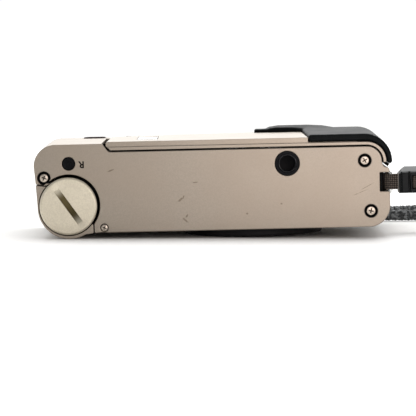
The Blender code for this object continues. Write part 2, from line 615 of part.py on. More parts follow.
BAIL_X, BAIL_Y = 58.75, -28.8
CORD_R = 2.0
CORD_ROUTE = [
    (82.2, -24.6, 17.2), (86.0, -24.5, 17.0), (90.5, -22.6, 14.0), (95.5, -18.0, 8.0),
    (99.5, -10.5, 3.4), (102.0, 0.0, 2.05), (103.0, 13.0, 2.05), (102.0, 26.0, 2.05),
    (98.5, 37.5, 2.05), (92.0, 44.0, 2.05), (84.0, 43.0, 2.05), (77.0, 36.5, 2.05),
    (70.0, 32.6, 2.05), (62.0, 35.0, 2.05), (52.0, 39.0, 2.05), (38.0, 40.5, 2.05),
    (24.0, 40.5, 2.05), (13.0, 43.0, 2.05), (8.6, 50.5, 2.05), (13.5, 57.6, 2.05),
    (26.0, 59.6, 2.05), (42.0, 58.6, 2.05), (58.0, 58.0, 2.05), (70.0, 60.4, 2.05),
    (80.0, 66.0, 2.05), (90.0, 69.5, 2.05), (100.0, 66.0, 2.05), (107.0, 56.5, 2.05),
    (110.6, 43.0, 2.05), (112.0, 27.0, 2.05), (111.6, 10.0, 2.05), (109.0, -6.0, 2.6),
    (104.0, -18.0, 5.6), (97.0, -26.2, 11.4), (89.5, -29.2, 15.6), (85.0, -29.3, 17.0),
    (82.2, -29.3, 17.2),
]


def strap():
    upper, lower = 20.8, 13.6
    bend = 1.2
    bail = [(56.6, upper), (BAIL_X - bend, upper)]
    bail += arc((BAIL_X - bend, upper - bend), bend, 75, 0, 5)
    bail += arc((BAIL_X - bend, lower + bend), bend, 0, -75, 5)
    bail += [(BAIL_X - bend, lower), (56.6, lower)]
    tube("strap_lug", [(x, BAIL_Y, z) for x, z in bail], 0.75, CHROME)
    box("strap_anchor", (55.5, -30.2, 12.8), (56.2, -26.6, 21.4), STEEL)
    outline = [(61.3, BAIL_Y - 2.0)] + arc((58.5, BAIL_Y), 2.0, -90, -270, 12) + [(61.3, BAIL_Y + 2.0)]
    outline += [(61.3, BAIL_Y + 1.3)] + arc((58.5, BAIL_Y), 1.3, -270, -90, 12) + [(61.3, BAIL_Y - 1.3)]
    prism("strap_webbing", outline, 14.7, 19.8, WEBBING, along="Z")
    section = [(-31.2, 13.8), (-31.2, 20.2), (-30.0, 20.7), (-23.2, 22.0), (-21.8, 21.2), (-21.8, 14.4),
               (-22.8, 13.4), (-30.8, 13.4)]
    buckle = prism("strap_buckle", section, 61.6, 81.6, BLACK, along="X")
    lean = cut_box("buckle_lean", (-6, -36, 0), (0, -16, 6))
    slope = Matrix.Rotation(math.radians(-45), 4, "Y")
    lean.matrix_basis = Matrix.Translation((64.2 * MM, 0, 22.4 * MM)) @ slope
    cut(buckle, lean)
    cut(buckle, cut_box("buckle_recess", (66.0, -33, 14.8), (73.5, -29.4, 19.2)))
    tube("wrist_cord", smooth_route(CORD_ROUTE, 6.6), CORD_R, BRAID)


base_plate()
screws()
battery_housing()
covers()
top_cover()
chassis()
tripod_bush()
battery()
lens()
barrier_blades()
transport()
finder()
electronics()
controls()
film_door()
strap()
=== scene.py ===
"""Looks of a compact 35 mm film camera that lies face down, with its wrist strap.

Everything is in metres in the model's own frame: +X along the body, +Y from the base plate to the
top cover, +Z from the lens to the film door. Sizes written as 12.5 * MM are in millimetres.
"""

import math

import bmesh
import bpy
import numpy as np
from mathutils import Matrix, Vector


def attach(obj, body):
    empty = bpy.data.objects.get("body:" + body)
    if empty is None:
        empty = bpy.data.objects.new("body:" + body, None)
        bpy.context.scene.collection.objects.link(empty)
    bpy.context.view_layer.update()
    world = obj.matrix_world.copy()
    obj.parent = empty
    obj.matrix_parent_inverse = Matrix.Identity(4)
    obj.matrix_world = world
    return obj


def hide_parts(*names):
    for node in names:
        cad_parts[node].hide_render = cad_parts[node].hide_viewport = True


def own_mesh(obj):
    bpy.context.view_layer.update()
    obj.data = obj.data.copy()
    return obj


MM = 0.001
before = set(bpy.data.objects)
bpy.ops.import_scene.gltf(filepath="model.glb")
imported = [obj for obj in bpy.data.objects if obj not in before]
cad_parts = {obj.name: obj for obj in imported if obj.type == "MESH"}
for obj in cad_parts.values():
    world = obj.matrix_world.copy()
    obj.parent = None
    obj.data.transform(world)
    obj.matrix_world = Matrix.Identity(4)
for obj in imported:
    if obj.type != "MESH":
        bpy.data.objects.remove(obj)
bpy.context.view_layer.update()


# ------------------------------------------------------------------ table, light and camera
# The camera body lies on its lens ring and on the battery housing, so it leans a little over 1 degree.
# The model stays level, and the table, the light and the viewpoint lean the other way round it.

LEAN, HOUSING_LEAN, RING_EDGE = math.radians(1.299), 0.0183, -9.0
ring_side = Vector((RING_EDGE * MM, 0, 0))
leaning = (Matrix.Translation(ring_side) @ Matrix.Rotation(LEAN, 4, "Y")
           @ Matrix.Translation(-ring_side))


def placed(name, data, location, turn):
    obj = bpy.data.objects.new(name, data)
    obj.matrix_world = leaning @ Matrix.Translation(location) @ turn
    bpy.context.scene.collection.objects.link(obj)
    return obj


viewpoint = bpy.data.cameras.new("viewpoint")
viewpoint.lens = 252.91
viewpoint.clip_end = 20.0
pitch = Matrix.Rotation(math.radians(90 - 3.337), 4, "X")
bpy.context.scene.camera = placed("viewpoint", viewpoint, (-2.22 * MM, -1000 * MM, 66.575 * MM), pitch)
bpy.context.scene.view_settings.view_transform = "Standard"


def softbox(name, sides, watts, location, target, colour=(1, 1, 1)):
    light = bpy.data.lights.new(name, "AREA")
    light.shape = "RECTANGLE"
    light.size, light.size_y = sides
    light.energy, light.color = watts, colour
    aim = (Vector(target) - Vector(location)).to_track_quat("-Z", "Y").to_matrix().to_4x4()
    return placed(name, light, location, aim)


softbox("right_hand", (0.20, 0.14), 0.24, (0.09, -0.24, 0.05), (0.01, -0.03, 0.012), (1.0, 0.90, 0.88))
softbox("behind", (1.4, 0.5), 2.6, (0.0, 0.75, 0.30), (0, 0, 0.03))
ceiling = bpy.data.lights.new("ceiling", "SUN")
ceiling.energy, ceiling.angle = 1.35, math.radians(50)
placed("ceiling", ceiling, (0, 0, 1), Matrix.Rotation(math.radians(-28), 4, "X"))

sky = bpy.data.worlds.new("white_room")
sky.use_nodes = True
room = sky.node_tree
room.nodes["Background"].inputs["Strength"].default_value = 1.03
facing = room.nodes.new("ShaderNodeTexCoord")
apart = room.nodes.new("ShaderNodeSeparateXYZ")
fade = room.nodes.new("ShaderNodeMapRange")
for socket, value in ((1, -0.35), (2, 0.1), (3, 0.39), (4, 1.0)):
    fade.inputs[socket].default_value = value
room.links.new(facing.outputs["Generated"], apart.inputs[0])
room.links.new(apart.outputs["Y"], fade.inputs[0])
room.links.new(fade.outputs[0], room.nodes["Background"].inputs["Color"])
bpy.context.scene.world = sky


def eased_step(value, low, high):
    t = np.clip((value - low) / (high - low), 0, 1)
    return t * t * (3 - 2 * t)


def table_height(x, y):
    """The table's height in the model's frame: it leans under the body and is level under the cord."""
    under_body = (RING_EDGE - x) * math.tan(LEAN)
    under_housing = (RING_EDGE - x) * HOUSING_LEAN
    leaned = np.where(x > RING_EDGE, under_body, under_housing)
    kept = (1 - eased_step(x, 50, 62)) * (1 - eased_step(-x, 150, 400)) * (1 - eased_step(y, 28, 35))
    return leaned * kept


near = list(np.arange(-160, 161, 4.0))
columns = [-2500, -1200, -600, -400, -300, -220] + near + [220, 300, 600, 1200, 2500]
rows = [-1500, -700, -380, -250] + near + [220, 300, 600, 1200, 2500, 6000]
grid_x, grid_y = np.meshgrid(columns, rows)
grid_z = table_height(grid_x, grid_y) - 0.02
points = np.stack([grid_x, grid_y, grid_z], -1).reshape(-1, 3) * MM
across = len(columns)
squares = [(r * across + c, r * across + c + 1, (r + 1) * across + c + 1, (r + 1) * across + c)
           for r in range(len(rows) - 1) for c in range(across - 1)]
table = bpy.data.meshes.new("table")
table.from_pydata(points.tolist(), [], squares)
table.shade_smooth()
table_top = bpy.data.objects.new("table", table)
bpy.context.scene.collection.objects.link(table_top)
paper = bpy.data.materials.new("white_paper")
paper.use_nodes = True
paper_shader = paper.node_tree.nodes["Principled BSDF"]
paper_shader.inputs["Base Color"].default_value = (0.93, 0.93, 0.92, 1)
paper_shader.inputs["Roughness"].default_value = 0.9
paper_shader.inputs["Specular IOR Level"].default_value = 0.1
table.materials.append(paper)


# ------------------------------------------------------------------ wrist cord
# A braided cord about 4 mm thick, in black and grey polyester, that leaves the buckle and comes back
# to it as one loop. It lies on the table to the right of the body and behind it.

class Wire:
    """One socket in a tree of nodes. Sums written on it become Math nodes."""

    def __init__(self, socket):
        self.socket = socket

    def node(self, kind, sockets=None, output=0, stops=None, **settings):
        tree = self.socket.id_data
        made = tree.nodes.new(kind)
        for key, value in settings.items():
            setattr(made, key, value)
        if stops:
            ramp = made.color_ramp
            while len(ramp.elements) < len(stops):
                ramp.elements.new(0.5)
            for element, (at, colour) in zip(ramp.elements, stops):
                element.position, element.color = at, (*colour, 1)
        for key, value in (sockets or {}).items():
            if isinstance(value, Wire):
                tree.links.new(value.socket, made.inputs[key])
            else:
                made.inputs[key].default_value = value
        return Wire(made.outputs[output])

    def to(self, socket):
        self.socket.id_data.links.new(self.socket, socket)

    def maths(self, operation, other=0.0, flipped=False):
        first, second = (other, self) if flipped else (self, other)
        return self.node("ShaderNodeMath", {0: first, 1: second}, operation=operation)

    def __add__(self, other):
        return self.maths("ADD", other)

    def __sub__(self, other):
        return self.maths("SUBTRACT", other)

    def __rsub__(self, other):
        return self.maths("SUBTRACT", other, True)

    def __mul__(self, other):
        return self.maths("MULTIPLY", other)

    def __truediv__(self, other):
        return self.maths("DIVIDE", other)

    __radd__, __rmul__ = __add__, __mul__

    def clipped(self, low, high):
        """0 below low and 1 above high, with a soft rise between."""
        return self.node("ShaderNodeMapRange", {0: self, 1: low, 2: high}, interpolation_type="SMOOTHSTEP")

    def tint(self, first, second):
        """Colour first where this is 0 and second where it is 1."""
        sockets = {0: self}
        for at, colour in ((6, first), (7, second)):
            sockets[at] = colour if isinstance(colour, Wire) else (*colour, 1)
        return self.node("ShaderNodeMix", sockets, 2, data_type="RGBA")

    def noise(self, scale, detail=2.0, roughness=0.5):
        return self.node("ShaderNodeTexNoise", {"Vector": self, "Scale": scale, "Detail": detail,
                                                "Roughness": roughness})

    def axis(self, name):
        return self.node("ShaderNodeSeparateXYZ", {0: self}, name)

    def bumps(self, distance, strength=1.0):
        return self.node("ShaderNodeBump", {"Height": self, "Distance": distance, "Strength": strength})


def new_finish(name, colour, roughness, metallic=0.0, **constants):
    """A material with these plain values. Gives it, its shader's sockets and the place on the piece."""
    material = bpy.data.materials.new(name)
    material.use_nodes = True
    sockets = material.node_tree.nodes["Principled BSDF"].inputs
    sockets["Base Color"].default_value = (*colour, 1)
    sockets["Roughness"].default_value = roughness
    sockets["Metallic"].default_value = metallic
    for key, value in constants.items():
        sockets[key.replace("_", " ")].default_value = value
    place = Wire(material.node_tree.nodes.new("ShaderNodeTexCoord").outputs["Object"])
    return material, sockets, place


def new_tree(name, inputs):
    """A geometry tree that takes a shape and these named inputs. Gives it, its inputs and its shape."""
    tree = bpy.data.node_groups.new(name, "GeometryNodeTree")
    tree.interface.new_socket("Shape", in_out="INPUT", socket_type="NodeSocketGeometry")
    for key, kind in inputs.items():
        tree.interface.new_socket(key, in_out="INPUT", socket_type="NodeSocket" + kind)
    tree.interface.new_socket("Shape", in_out="OUTPUT", socket_type="NodeSocketGeometry")
    source = tree.nodes.new("NodeGroupInput")
    return tree, {s.name: Wire(s) for s in source.outputs if s.name}


def end_tree(tree, shape, material):
    """Ends the tree with its copies made real and their material set."""
    real = shape.node("GeometryNodeRealizeInstances", {0: shape})
    done = real.node("GeometryNodeSetMaterial", {"Geometry": real, "Material": material})
    done.to(tree.nodes.new("NodeGroupOutput").inputs[0])


def grown(name, start, tree, values):
    """A plain mesh from the tree's work on the start object, which is then gone."""
    modifier = start.modifiers.new(tree.name, "NODES")
    modifier.node_group = tree
    for item in tree.interface.items_tree:
        if item.in_out == "INPUT" and item.name in values:
            modifier[item.identifier] = values[item.name]
    return settled(name, start)


def settled(name, obj):
    """The object's evaluated shape as a plain mesh at the origin, in place of the object."""
    if obj.name not in bpy.context.scene.collection.objects:
        bpy.context.scene.collection.objects.link(obj)
    bpy.context.view_layer.update()
    graph = bpy.context.evaluated_depsgraph_get()
    mesh = bpy.data.meshes.new_from_object(obj.evaluated_get(graph), preserve_all_data_layers=True,
                                           depsgraph=graph)
    mesh.transform(obj.matrix_world)
    bpy.data.objects.remove(obj)
    mesh.name = name
    piece = bpy.data.objects.new(name, mesh)
    bpy.context.scene.collection.objects.link(piece)
    return piece


cord_knots = [
    (82.2, -24.6, 17.2), (86.0, -24.5, 17.0), (90.5, -22.6, 14.0), (95.5, -18.0, 8.0),
    (99.5, -10.5, 3.4), (102.0, 0.0, 2.05), (103.0, 13.0, 2.05), (102.0, 26.0, 2.05),
    (98.5, 37.5, 2.05), (92.0, 44.0, 2.05), (84.0, 43.0, 2.05), (77.0, 36.5, 2.05),
    (70.0, 32.6, 2.05), (62.0, 35.0, 2.05), (52.0, 39.0, 2.05), (38.0, 40.5, 2.05),
    (24.0, 40.5, 2.05), (13.0, 43.0, 2.05), (8.6, 50.5, 2.05), (13.5, 57.6, 2.05),
    (26.0, 59.6, 2.05), (42.0, 58.6, 2.05), (58.0, 58.0, 2.05), (70.0, 60.4, 2.05),
    (80.0, 66.0, 2.05), (90.0, 69.5, 2.05), (100.0, 66.0, 2.05), (107.0, 56.5, 2.05),
    (110.6, 43.0, 2.05), (112.0, 27.0, 2.05), (111.6, 10.0, 2.05), (109.0, -6.0, 2.6),
    (104.0, -18.0, 5.6), (97.0, -26.2, 11.4), (89.5, -29.2, 15.6), (85.0, -29.3, 17.0),
    (82.2, -29.3, 17.2),
]


def smooth_route(knots, parts=8):
    """Points on a smooth curve through the knots."""
    knots = [Vector(p) * MM for p in knots]
    ends = [knots[0] * 2 - knots[1]] + knots + [knots[-1] * 2 - knots[-2]]
    route = []
    for a, b, c, d in zip(ends, ends[1:], ends[2:], ends[3:]):
        for i in range(parts):
            t = i / parts
            route.append(0.5 * (2 * b + (c - a) * t + (2 * a - 5 * b + 4 * c - d) * t * t
                                + (3 * b - a - 3 * c + d) * t ** 3))
    return route + [knots[-1]]


def line_of(name, points):
    """A curve object of one open line through the points."""
    curve = bpy.data.curves.new(name, "CURVE")
    curve.dimensions = "3D"
    spline = curve.splines.new("POLY")
    spline.points.add(len(points) - 1)
    for point, place in zip(spline.points, points):
        point.co = (*place, 1)
    obj = bpy.data.objects.new(name, curve)
    bpy.context.scene.collection.objects.link(obj)
    return obj


braid, given = new_tree("braid", {"Yarns": "Int", "Round": "Float", "Yarn Thickness": "Float",
                                  "Turns per Metre": "Float", "Core": "Float", "Material": "Material"})
line = given["Shape"].node("GeometryNodeResampleCurve", {"Curve": given["Shape"], "Length": 0.0006},
                           mode="LENGTH")
doubled = line.node("GeometryNodeDuplicateElements", {"Geometry": line, "Amount": given["Yarns"]},
                    domain="SPLINE")
number = Wire(doubled.socket.node.outputs["Duplicate Index"])
along = line.node("GeometryNodeSplineParameter", output="Length")
pair = (number / 2.0).maths("FLOOR")
hand = 1.0 - (number - pair * 2.0) * 2.0
twist = along * given["Turns per Metre"] * (2 * math.pi)
angle = pair * (4 * math.pi) / given["Yarns"] + hand * twist
over = hand * (twist * given["Yarns"] / 2.0).maths("COSINE")
reach = given["Round"] + over * given["Yarn Thickness"] * 0.42
normal = line.node("GeometryNodeInputNormal")
tangent = line.node("GeometryNodeInputTangent")
side = line.node("ShaderNodeVectorMath", {0: tangent, 1: normal}, operation="CROSS_PRODUCT")
first = line.node("ShaderNodeVectorMath", {0: normal, "Scale": angle.maths("COSINE") * reach},
                  operation="SCALE")
second = line.node("ShaderNodeVectorMath", {0: side, "Scale": angle.maths("SINE") * reach},
                   operation="SCALE")
offset = line.node("ShaderNodeVectorMath", {0: first, 1: second}, operation="ADD")
yarns = line.node("GeometryNodeSetPosition", {"Geometry": doubled, "Offset": offset})
yarn_round = line.node("GeometryNodeCurvePrimitiveCircle",
                       {"Resolution": 5, "Radius": given["Yarn Thickness"]})
wound = line.node("GeometryNodeCurveToMesh", {"Curve": yarns, "Profile Curve": yarn_round,
                                              "Fill Caps": True})
core_round = line.node("GeometryNodeCurvePrimitiveCircle", {"Resolution": 12, "Radius": given["Core"]})
core = line.node("GeometryNodeCurveToMesh", {"Curve": line, "Profile Curve": core_round,
                                             "Fill Caps": True})
both = wound.node("GeometryNodeJoinGeometry", {0: wound})
core.to(both.socket.node.inputs[0])
smooth = both.node("GeometryNodeSetShadeSmooth", {0: both})
end_tree(braid, smooth, given["Material"])

cord_yarn, sockets, place = new_finish("cord_yarn", (0.05, 0.055, 0.058), 0.62, Sheen_Weight=0.3,
                                       Sheen_Roughness=0.4)
strands = place.noise(700.0, 3.0)
strands.clipped(0.45, 0.6).tint((0.022, 0.025, 0.027), (0.19, 0.20, 0.205)).to(sockets["Base Color"])
(0.5 + strands * 0.3).to(sockets["Roughness"])
place.noise(9000.0, 2.0).bumps(0.00005, 0.6).to(sockets["Normal"])

cord_path = smooth_route(cord_knots)
cord_length = sum((b - a).length for a, b in zip(cord_path, cord_path[1:]))
wrist_loop = grown("wrist_loop", line_of("cord_line", cord_path), braid,
                   {"Yarns": 10, "Round": 1.28 * MM, "Yarn Thickness": 0.5 * MM,
                    "Turns per Metre": 84.0, "Core": 1.1 * MM, "Material": cord_yarn})
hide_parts("wrist_cord")
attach(wrist_loop, "camera_body")


# ------------------------------------------------------------------ base plate
# The bottom is one pressed sheet of titanium alloy, 1.6 mm thick, bead-blasted and coated in warm
# champagne. It is cut out for the battery cap, the rewind button and the tripod socket.

def arc(centre, radius, start, end, steps=24):
    """Points on a circle from the start angle to the end angle, in degrees."""
    angles = [math.radians(start + (end - start) * i / steps) for i in range(steps + 1)]
    return [(centre[0] + radius * math.cos(a), centre[1] + radius * math.sin(a)) for a in angles]


def circle(centre, radius, steps=48):
    return arc(centre, radius, 0, 360, steps)[:-1]


def rounded(low, high, radius, steps=8):
    """Outline of a rectangle with round corners."""
    (x0, y0), (x1, y1) = low, high
    corners = [((x1 - radius, y0 + radius), -90), ((x1 - radius, y1 - radius), 0),
               ((x0 + radius, y1 - radius), 90), ((x0 + radius, y0 + radius), 180)]
    return [p for centre, turn in corners for p in arc(centre, radius, turn, turn + 90, steps)]


def smoothed(obj, angle=33):
    """Smooth shading that keeps flat faces flat, with creases sharper than the angle kept."""
    obj.data.shade_smooth()
    obj.data.set_sharp_from_angle(angle=math.radians(angle))
    weighted = obj.modifiers.new("flat_faces", "WEIGHTED_NORMAL")
    weighted.keep_sharp = True
    return settled(obj.name, obj)


def edges_eased(obj, width, segments=3, angle=32):
    """Rounds every edge sharper than the angle, as a press tool or a file leaves it."""
    bevel = obj.modifiers.new("eased", "BEVEL")
    bevel.width = width * MM
    bevel.segments = segments
    bevel.limit_method = "ANGLE"
    bevel.angle_limit = math.radians(angle)
    bevel.use_clamp_overlap = False
    bevel.miter_outer = "MITER_ARC"
    return smoothed(settled(obj.name, obj), 40)


ALONG = {"X": ((0, 0, 1), (1, 0, 0), (0, 1, 0)), "Y": ((1, 0, 0), (0, 0, -1), (0, 1, 0)),
         "Z": ((1, 0, 0), (0, 1, 0), (0, 0, 1))}


def slab(name, outline, low, high, holes=(), along="Y"):
    """A flat outline, with its holes, given a thickness along one axis. Sizes are in millimetres."""
    curve = bpy.data.curves.new(name, "CURVE")
    curve.dimensions = "2D"
    curve.fill_mode = "BOTH"
    curve.extrude = (high - low) / 2 * MM
    for points in (outline, *holes):
        spline = curve.splines.new("POLY")
        spline.points.add(len(points) - 1)
        for point, (u, v) in zip(spline.points, points):
            point.co = (u * MM, v * MM, 0, 1)
        spline.use_cyclic_u = True
    piece = settled(name, bpy.data.objects.new(name, curve))
    bm = bmesh.new()
    bm.from_mesh(piece.data)
    bmesh.ops.remove_doubles(bm, verts=bm.verts, dist=1e-6)
    bmesh.ops.dissolve_limit(bm, angle_limit=math.radians(0.5), verts=bm.verts, edges=bm.edges)
    shift = Vector([(low + high) / 2 * MM if key == along else 0 for key in "XYZ"])
    upright = Matrix.Translation(shift) @ Matrix(ALONG[along]).to_4x4()
    bmesh.ops.transform(bm, matrix=upright, verts=bm.verts)
    bmesh.ops.recalc_face_normals(bm, faces=bm.faces)
    bm.to_mesh(piece.data)
    bm.free()
    return piece


def eased_line(points, ease, closed=False):
    """The line with each corner replaced by a short curve."""
    if ease == 0:
        return points
    last = len(points) - 1
    out = []
    for i, point in enumerate(points):
        if not closed and i in (0, last):
            out.append(point)
            continue
        p = Vector(point)
        before, after = Vector(points[i - 1]) - p, Vector(points[(i + 1) % len(points)]) - p
        reach = min(ease, before.length * 0.45, after.length * 0.45)
        a, b = p + before.normalized() * reach, p + after.normalized() * reach
        out += [tuple(a * (1 - t) ** 2 + p * 2 * t * (1 - t) + b * t * t) for t in (0, 0.33, 0.67, 1)]
    return out


def turned(name, profile, centre, along="Y", steps=96, ease=0.12, closed=False):
    """A profile of (radius, height) points with its corners eased, turned about an axis."""
    points = eased_line(profile, ease, closed)
    bm = bmesh.new()
    verts = [bm.verts.new((r * MM, 0, h * MM)) for r, h in points]
    lines = [bm.edges.new(pair) for pair in zip(verts, verts[1:])]
    if closed:
        lines.append(bm.edges.new((verts[-1], verts[0])))
    bmesh.ops.spin(bm, geom=verts + lines, cent=(0, 0, 0), axis=(0, 0, 1), angle=2 * math.pi,
                   steps=steps)
    bmesh.ops.remove_doubles(bm, verts=bm.verts, dist=1e-7)
    bmesh.ops.recalc_face_normals(bm, faces=bm.faces)
    turn = Matrix.Rotation(math.radians(-90), 4, "X") if along == "Y" else Matrix.Identity(4)
    spot = (centre[0], 0, centre[1]) if along == "Y" else (*centre, 0)
    bmesh.ops.transform(bm, matrix=Matrix.Translation(Vector(spot) * MM) @ turn, verts=bm.verts)
    mesh = bpy.data.meshes.new(name)
    bm.to_mesh(mesh)
    bm.free()
    piece = bpy.data.objects.new(name, mesh)
    bpy.context.scene.collection.objects.link(piece)
    return smoothed(piece)


def cut(piece, *cutters, how="DIFFERENCE"):
    """Takes the cutters' shapes out of the piece, or joins them on, and throws the cutters away."""
    for cutter in cutters:
        boolean = piece.modifiers.new("cut", "BOOLEAN")
        boolean.operation = how
        boolean.object = cutter
        boolean.solver = "EXACT"
    name = piece.name
    piece = settled(name, piece)
    for cutter in cutters:
        bpy.data.objects.remove(cutter)
    return piece


def fitted(piece, material, body, slot, *nodes):
    """Gives the piece its material and its body, and the frame solids that it stands for."""
    piece.data.materials.clear()
    piece.data.materials.append(material)
    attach(piece, body)
    if nodes:
        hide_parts(*nodes)
    return piece


def blasted(name, colour, roughness):
    """Bead-blasted and coated metal: a fine grain, faint clouds of tone, slightly worn."""
    material, sockets, place = new_finish(name, colour, roughness, 0.88)
    grain = place.noise(2600.0, 3.0, 0.7)
    clouds = place.noise(34.0, 3.0)
    light = [c * 1.07 for c in colour]
    dark = [c * 0.93 for c in colour]
    warm = (colour[0] * 1.03, colour[1] * 0.985, colour[2] * 0.96)
    grey = grain.clipped(0.3, 0.7).tint(dark, light)
    tone = (clouds.clipped(0.3, 0.7) * 0.6).tint(grey, warm)
    tone.to(sockets["Base Color"])
    (roughness - 0.04 + place.noise(70.0, 3.0) * 0.08).to(sockets["Roughness"])
    grain.bumps(0.000012, 0.5).to(sockets["Normal"])
    return material, sockets, place, tone


LEFT, RIGHT, PLATE_BACK = -59.5, 58.5, 32.1
BASE_FACE, SHEET = -32.1, 1.6
SOCKET_AT, REWIND_AT, CELL_AT = (24.6, 24.2), (-47.9, 25.7), (-48.3, 11.6)
LEFT_SCREW, UPPER_SCREW, LOWER_SCREW, SMALL_SCREW = (-56.2, 21.1), (50.3, 24.6), (52.1, 7.8), (-36.5, 4.15)
WELL = 2.2
plate_outline = [(-39.8, 2.5)] + arc((RIGHT - 7, 9.5), 7.0, -90, 0)
plate_outline += [(RIGHT, 14.2), (55.2, 14.2), (55.2, 20.5), (RIGHT, 20.5), (RIGHT, 21.0)]
plate_outline += arc((57.0, 21.0), 1.5, 0, 65, 5) + arc((58.1, 24.0), 2.0, 245, 180, 6)
plate_outline += arc((51.0, 24.3), 5.0, 0, 90) + [(-34.3, 29.3)]
plate_outline += [(-34.9, 29.75), (-36.5, 31.75), (-36.9, PLATE_BACK)]
plate_outline += arc((LEFT + 7.2, PLATE_BACK - 7.2), 7.2, 90, 180) + [(-58.95, 19.0)]
plate_outline += arc((-48.1, 11.8), 10.3, 135.7, -37, 72)
openings = [circle(SOCKET_AT, 4.1), circle(REWIND_AT, WELL), circle(UPPER_SCREW, WELL),
            circle(LOWER_SCREW, WELL), circle(SMALL_SCREW, 1.35)]
plate = slab("bottom_plate", plate_outline, BASE_FACE, BASE_FACE + SHEET, openings)
plate = cut(plate, slab("left_screw_hole", circle(LEFT_SCREW, WELL), BASE_FACE - 2, BASE_FACE + 3))
plate = edges_eased(plate, 0.25)

champagne = (0.31, 0.272, 0.225)
titanium = blasted("titanium", champagne, 0.43)[0]
plate_metal, sockets, place, tone = blasted("plate_titanium", champagne, 0.43)
east, up = place.axis("X"), place.axis("Z")
ragged = place.noise(900.0, 4.0, 0.7)


def scuff(x, z, long, wide, slope):
    """A worn spot on the plate, ragged at its edge."""
    c, s = math.cos(math.radians(slope)), math.sin(math.radians(slope))
    dx, dz = east - x * MM, up - z * MM
    a, b = (dx * c + dz * s) / (long * MM), (dz * c - dx * s) / (wide * MM)
    return 1.0 - (a * a + b * b + (ragged - 0.5) * 3.0).clipped(0.1, 1.0)


marks = scuff(-11.2, 12.9, 1.3, 0.45, 35)
for spot in [(-9.7, 6.2, 1.4, 0.4, -40), (-9.0, 7.6, 0.8, 0.3, 60), (-10.0, 13.8, 0.7, 0.25, 80),
             (-6.0, 18.6, 0.9, 0.3, 5), (11.0, 7.8, 0.4, 0.5, 60), (-33.8, 23.2, 1.6, 0.3, 20),
             (51.0, 16.0, 2.6, 0.14, 28), (48.6, 14.0, 3.0, 0.14, 22), (22.5, 10.9, 0.5, 0.4, 0)]:
    marks = marks.maths("MAXIMUM", scuff(*spot))
(marks * 0.7).tint(tone, (0.13, 0.095, 0.065)).to(sockets["Base Color"])
fitted(plate, plate_metal, "camera_body", "titanium_cover", "base_plate")


# ------------------------------------------------------------------ base screws
# Three nickel-plated cross-head screws sit in deep black wells, and one smaller screw is flush with
# the plate by the battery housing. Each has a hard, slightly domed head and its thread below.

def finish_dark(name, colour, roughness, grain=1800.0, depth=0.00001, shift=0.08, **constants):
    """Moulded or painted dark stuff with a fine even grain."""
    constants.setdefault("Specular_IOR_Level", 0.04)
    material, sockets, place = new_finish(name, colour, roughness, **constants)
    grains = place.noise(grain, 3.0, 0.6)
    clouds = place.noise(60.0, 2.0)
    lighter = [c * 1.5 + 0.002 for c in colour]
    (grains * 0.5 + clouds * 0.5).clipped(0.3, 0.75).tint(colour, lighter).to(sockets["Base Color"])
    (roughness - shift / 2 + clouds * shift).to(sockets["Roughness"])
    grains.bumps(depth, 0.6).to(sockets["Normal"])
    return material


copies, given = new_tree("screws_in_place", {"Screw": "Object", "Material": "Material"})
one = given["Shape"].node("GeometryNodeObjectInfo", {"Object": given["Screw"]}, "Geometry")
size = one.node("GeometryNodeInputNamedAttribute", {"Name": "width"}, data_type="FLOAT")
spin = one.node("GeometryNodeInputNamedAttribute", {"Name": "spin"}, data_type="FLOAT")
turn = one.node("ShaderNodeCombineXYZ", {"Y": spin})
scale = one.node("ShaderNodeCombineXYZ", {"X": size, "Y": 1.0, "Z": size})
set_down = one.node("GeometryNodeInstanceOnPoints", {"Points": given["Shape"], "Instance": one,
                                                     "Rotation": turn, "Scale": scale})
end_tree(copies, set_down, given["Material"])


def screws_at(name, spots, screw, material):
    """Copies of the screw at ((x, z), y, width, turn in degrees)."""
    mesh = bpy.data.meshes.new(name)
    mesh.from_pydata([Vector((x, y, z)) * MM for (x, z), y, width, turn in spots], [], [])
    for key, values in (("width", [s[2] for s in spots]), ("spin", [math.radians(s[3]) for s in spots])):
        mesh.attributes.new(key, "FLOAT", "POINT").data.foreach_set("value", values)
    start = bpy.data.objects.new(name, mesh)
    made = grown(name, start, copies, {"Screw": screw, "Material": material})
    bpy.data.objects.remove(screw)
    return made


HEAD, THREAD, HEAD_Y = 1.5, 0.7, -31.95
head = turned("head", [(0, -0.06), (THREAD, -0.03), (HEAD - 0.2, 0.05), (HEAD, 0.25), (HEAD, 0.95),
                       (THREAD, 0.95), (THREAD, 3.0), (0, 3.3)], (0, 0), steps=40, ease=0.08)
cross = []
for turn_by in (0, 90):
    tip = [(-0.76, -0.5), (0.76, -0.5), (1.0, -0.06), (0.3, 0.7), (-0.3, 0.7), (-1.0, -0.06)]
    blade = slab("blade", tip, -0.21, 0.21, along="Z")
    blade.data.transform(Matrix.Rotation(math.radians(turn_by), 4, "Y"))
    cross.append(blade)
head = cut(head, *cross)
nickel, sockets, place = new_finish("screw_nickel", (0.56, 0.49, 0.41), 0.36, 0.95)
scratches = place.noise(3000.0, 3.0)
# Painted shade: every part of a screw deeper than its face, the cross recess and the head's sides in the
# well, is coloured near-black.
deep = place.axis("Y").clipped(-31.92 * MM, -31.7 * MM)
deep.tint(scratches.clipped(0.3, 0.7).tint((0.42, 0.36, 0.30), (0.60, 0.53, 0.45)),
          (0.03, 0.024, 0.018)).to(sockets["Base Color"])
(0.24 + scratches * 0.18).to(sockets["Roughness"])
scratches.bumps(0.000008, 0.6).to(sockets["Normal"])
screws = screws_at("base_screws", [(LEFT_SCREW, HEAD_Y, 0.97, 20), (UPPER_SCREW, HEAD_Y, 1.0, 62),
                                   (LOWER_SCREW, HEAD_Y, 1.03, 12),
                                   (SMALL_SCREW, HEAD_Y - 0.05, 0.78, 25)], head, nickel)
fitted(screws, nickel, "camera_body", "steel", "base_screw_left", "base_screw_upper_right",
       "base_screw_lower_right", "base_screw_small")

